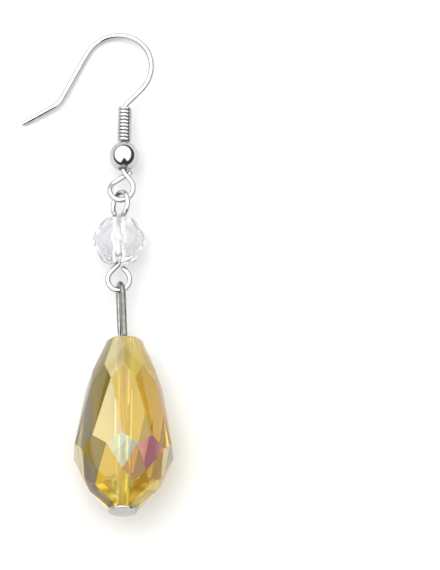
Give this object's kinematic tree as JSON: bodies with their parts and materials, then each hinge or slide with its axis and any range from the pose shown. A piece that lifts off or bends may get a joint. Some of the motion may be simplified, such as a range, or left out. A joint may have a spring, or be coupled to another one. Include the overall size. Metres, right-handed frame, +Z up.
{
  "type": "drop earring",
  "caption": "Drop earring lying flat: a fish-hook ear wire with a coil and a ball, a clear faceted bead on a looped wire, and a golden faceted teardrop on a head pin.",
  "frame": {"origin": "on the surface under the middle of the earring's box", "axes": "+Y towards the hook's arc along the earring, +X to the right seen from above, +Z up from the surface"},
  "size_m": [0.0182, 0.0584, 0.0114],
  "materials": {
    "bright_metal": "polished silver-coloured wire",
    "grey_metal": "duller silver-coloured wire",
    "clear_glass": "clear cut glass",
    "golden_glass": "cut glass with a golden iridescent coating"
  },
  "bodies": {
    "root": {"ear_hook": "bright_metal", "wire_coil": "bright_metal", "ball_bead": "bright_metal", "link_wire": "bright_metal", "clear_bead": "clear_glass", "head_pin": "grey_metal", "teardrop_bead": "golden_glass"}
  },
  "joints": []
}
